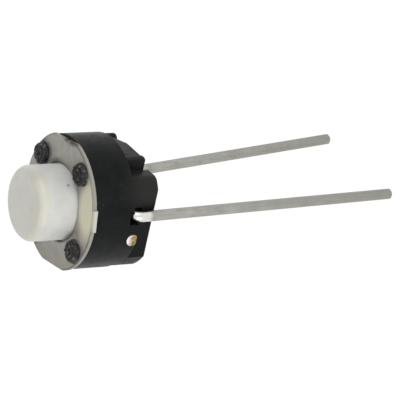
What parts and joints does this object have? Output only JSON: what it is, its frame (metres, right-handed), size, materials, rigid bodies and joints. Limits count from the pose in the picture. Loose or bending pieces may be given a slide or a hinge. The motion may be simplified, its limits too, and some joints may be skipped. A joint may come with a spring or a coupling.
{
  "type": "tactile switch",
  "caption": "Round momentary push switch: domed contact under a white button, black base with a staked metal cover, two long round wire leads.",
  "frame": {"origin": "centre of the round base on the board plane, where the two feet stand", "axes": "+Z from the board to the button, +X across the base to the side where the front lead is bent down"},
  "size_m": [0.0064, 0.0062, 0.0184],
  "materials": {
    "base_plastic": "satin",
    "cover_steel": "satin",
    "button_plastic": "satin",
    "dome_steel": "bright",
    "contact_brass": "satin",
    "tinned_wire": "matte tin"
  },
  "bodies": {
    "base": {"housing": "base_plastic", "cover_plate": "cover_steel", "contact_dome": "dome_steel", "centre_contact": "contact_brass", "rim_contact": "contact_brass", "front_lead": "tinned_wire", "rear_lead": "tinned_wire"},
    "button": {"plunger": "button_plastic"}
  },
  "joints": [
    {"name": "plunger_press", "type": "slide", "parent": "base", "child": "button", "axis": [0, 0, -1], "range_m": [0, 0.00025], "stiffness_N_per_m": 4500, "springref_m": -0.0001, "deforming": ["contact_dome"]}
  ]
}
